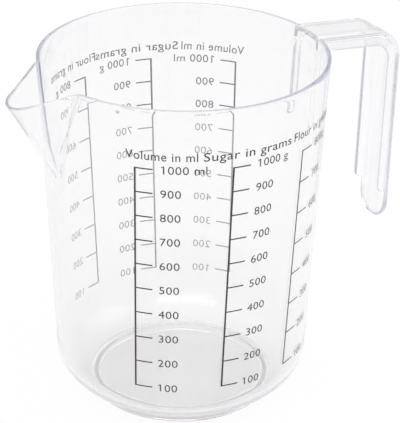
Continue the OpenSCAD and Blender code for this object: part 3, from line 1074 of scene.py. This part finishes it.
class Print:
    """Flat print in arc length and height, wrapped on the wall as thin solid ink."""

    def __init__(self):
        self.points, self.faces = [], []

    def add(self, points, faces):
        start = len(self.points)
        self.points += [tuple(p) for p in points]
        self.faces += [tuple(start + i for i in f) for f in faces]

    def bar(self, corner, size, parts, lean=0.0):
        """A bar divided along its length, which leans in the sheet as it rises."""
        (x, z), (w, h) = corner, size
        along_x = w > h
        points = []
        for i in range(parts + 1):
            t = i / parts
            if along_x:
                points += [(x + w * t, z), (x + w * t, z + h)]
            else:
                points += [(x + lean * h * t, z + h * t), (x + w + lean * h * t, z + h * t)]
        faces = []
        for i in range(parts):
            a = 2 * i
            quad = (a, a + 2, a + 3, a + 1)
            faces.append(quad if along_x else quad[::-1])
        self.add(points, faces)

    def words(self, text, x, z, width, height, whole):
        """Words that start at x, as wide as asked: the whole text, or three digits of it."""
        weight = HEADING_WEIGHT if whole else NUMBER_WEIGHT
        points, faces = lettering(text, weight)
        number, _ = lettering("900", weight)
        left, right = ends(points if whole else number)
        wide = width / (right - left)
        points = (points - [left, 0]) * [wide, height / np.ptp(number[:, 1])] + [x, z]
        self.add(points, faces)
        if text.startswith("1"):
            self.flag(ends(points)[0] + FLAG_LAP, z + height)

    def flag(self, x, top):
        """The slanted stroke at the head of a 1, whose upright starts at x."""
        far, low = x - FLAG_W, top - FLAG_DROP
        self.add([(far, low - FLAG_T), (x, top - FLAG_T), (x, top), (far, low)], [(0, 1, 2, 3)])

    def wrapped(self, name, direction):
        """The print as an object, thickened and laid round the wall from a direction."""
        mesh = bmesh.new()
        verts = [mesh.verts.new((x, z, 0)) for x, z in self.points]
        for face in self.faces:
            mesh.faces.new([verts[i] for i in face])
        bmesh.ops.remove_doubles(mesh, verts=mesh.verts, dist=PRINT_WELD)
        pushed = bmesh.ops.extrude_face_region(mesh, geom=list(mesh.faces))
        for part in pushed["geom"]:
            if isinstance(part, bmesh.types.BMVert):
                part.co.z = 1
        bmesh.ops.recalc_face_normals(mesh, faces=mesh.faces)
        for v in mesh.verts:
            x, z, w = v.co
            radius = wall_out(z) - INK_IN + (INK_IN + INK_OUT) * w
            turn = math.radians(direction) + x / wall_out(z)
            v.co = (radius * math.cos(turn), radius * math.sin(turn), z)
        bmesh.ops.recalc_face_normals(mesh, faces=mesh.faces)
        points = [tuple(v.co) for v in mesh.verts]
        mesh.verts.index_update()
        faces = [tuple(v.index for v in f.verts) for f in mesh.faces]
        mesh.free()
        obj = mesh_object(name, points, faces, INK)
        obj.data.polygons.foreach_set("use_smooth", [False] * len(obj.data.polygons))
        return obj


def make_print(kind, side, direction):
    heights = flour_heights() if kind == "flour" else volume_heights()
    low, high = heights[0] - MARK_T / 2, heights[-1] + MARK_T / 2
    middle = (low + high) / 2
    lean = math.tan(math.radians(PRINT_LEAN))
    sheet = Print()
    foot = (-UPRIGHT_W / 2 + (low - middle) * lean, low)
    sheet.bar(foot, (UPRIGHT_W, high - low), UPRIGHT_PARTS, lean)
    left = UPRIGHT_W / 2 - MARK_LAP
    for k, z in enumerate(heights):
        x = (z - middle) * lean
        sheet.bar((x + left, z - MARK_T / 2), (MARK_LEN - left, MARK_T), MARK_PARTS)
        number = str(100 * (k + 1))
        last = k == len(heights) - 1
        text = f"{number} {UNITS[kind]}" if last else number
        start = x + NUMBER_START + (z - middle) * NUMBER_LEAN[side]
        sheet.words(text, start, z - DIGIT_H / 2, NUMBER_W, DIGIT_H, False)
    text, start, end = HEADINGS[kind]
    sheet.words(text, start, HEADING_Z, end - start, HEADING_H, True)
    piece = sheet.wrapped(f"{kind}_print_{side}", direction)
    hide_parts(f"{kind}_scale_{side}")
    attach(piece, "root")


# Floor, light and world
MIRRORED_SHARE = 0.7
# How much of the floor is plain white: seen by the camera, and seen by way of a mirror
FLOOR_SEEN, FLOOR_MIRRORED = 0.93, 0.8
FLOOR_COLOUR = (0.9, 0.9, 0.9, 1)
FLOOR_SIZE, FLOOR_STEPS = 3000.0, 8
# The studio is a pale tent, brightest overhead
TENT = {0.0: (0.42, 0.42, 0.47), 0.75: (0.95, 0.95, 0.95)}
# Each lamp's place and size in metres, and its power
LAMPS = {
    "key": ((-0.7, -1.0, 1.6), (1.6, 1.2), 12.0),
    "fill": ((1.3, -0.4, 1.2), (1.2, 1.2), 6.0),
}
LAMP_AIM = (0, 0, 0.07)


def seen_directly(tree):
    """How much of the white background a ray sees: all of it straight from the camera or through
    clear plastic, MIRRORED_SHARE of it by way of a mirror, and nothing as light on things."""
    path = add(tree, "ShaderNodeLightPath").outputs
    seen = combined(
        tree,
        "MAXIMUM",
        path["Is Camera Ray"],
        path["Is Glossy Ray"],
        path["Is Transmission Ray"],
    )
    mirrored = rising(tree, path["Glossy Depth"], 0.0, 1.0, 1.0, MIRRORED_SHARE)
    # A ray that a dull surface has sent on only brings that surface its light
    unscattered = combined(tree, "LESS_THAN", path["Diffuse Depth"], 0.5)
    return combined(tree, "MULTIPLY", seen, mirrored, unscattered)


def mixed(tree, share, first, second, kind):
    """Links the mix of two shaders to the output node of a kind."""
    mix = add(tree, "ShaderNodeMixShader")
    out = add(tree, kind)
    tree.links.new(share, mix.inputs[0])
    tree.links.new(first.outputs[0], mix.inputs[1])
    tree.links.new(second.outputs[0], mix.inputs[2])
    tree.links.new(mix.outputs[0], out.inputs["Surface"])


def make_world():
    world = bpy.data.worlds.new("studio")
    world.use_nodes = True
    tree = world.node_tree
    tree.nodes.clear()
    light = add(tree, "ShaderNodeBackground", Strength=1.0)
    place = add(tree, "ShaderNodeTexCoord")
    split = add(tree, "ShaderNodeSeparateXYZ")
    tree.links.new(place.outputs["Generated"], split.inputs[0])
    tree.links.new(ramp(tree, split.outputs["Z"], TENT), light.inputs["Color"])
    shown = add(tree, "ShaderNodeBackground", Strength=1.0)
    mixed(tree, seen_directly(tree), light, shown, "ShaderNodeOutputWorld")
    bpy.context.scene.world = world


def make_floor():
    material, tree = new_material("floor_white")
    paint = add(tree, "ShaderNodeBsdfDiffuse", Color=FLOOR_COLOUR)
    glow = add(tree, "ShaderNodeEmission", Strength=1.0)
    path = add(tree, "ShaderNodeLightPath").outputs
    behind = rising(tree, path["Glossy Depth"], 0.0, 1.0, 0.0, FLOOR_MIRRORED)
    glowing = rising(tree, path["Is Camera Ray"], 0.0, 1.0, behind, FLOOR_SEEN)
    share = combined(tree, "MULTIPLY", seen_directly(tree), glowing)
    mixed(tree, share, paint, glow, "ShaderNodeOutputMaterial")
    grid = np.linspace(-FLOOR_SIZE, FLOOR_SIZE, FLOOR_STEPS + 1)
    points = [(x, y, 0.0) for y in grid for x in grid]
    row = FLOOR_STEPS + 1
    corners = [j * row + i for j in range(FLOOR_STEPS) for i in range(FLOOR_STEPS)]
    faces = [(a, a + 1, a + row + 1, a + row) for a in corners]
    mesh_object("floor", points, faces, material)


def make_lamp(name, place, size, power):
    data = bpy.data.lights.new(name, "AREA")
    data.shape = "RECTANGLE"
    data.size, data.size_y = size
    data.energy = power
    obj = bpy.data.objects.new(name, data)
    place = Vector(place)
    turn = (place - Vector(LAMP_AIM)).to_track_quat("Z", "Y").to_matrix().to_4x4()
    obj.matrix_world = Matrix.Translation(place) @ turn
    bpy.context.scene.collection.objects.link(obj)


make_camera()
CLEAR = clear_plastic()
INK = dark_ink()
vessel = make_vessel(CLEAR)
tools = [make_handle(CLEAR), make_rib(-1, CLEAR), make_rib(1, CLEAR)]
vessel = joined(vessel, tools)
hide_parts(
    "vessel_wall",
    "vessel_base",
    "foot_ring",
    "rim",
    "pouring_spout",
    "handle_strap",
    "handle_flange_left",
    "handle_flange_right",
    "handle_rib_left",
    "handle_rib_right",
)
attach(vessel, "root")

for side, directions in (("front", FRONT_DIRECTIONS), ("back", BACK_DIRECTIONS)):
    for kind, direction in zip(("volume", "sugar", "flour"), directions):
        make_print(kind, side, direction)

make_world()
make_floor()
for name, (place, size, power) in LAMPS.items():
    make_lamp(name, place, size, power)

bpy.context.scene.view_settings.view_transform = "Standard"
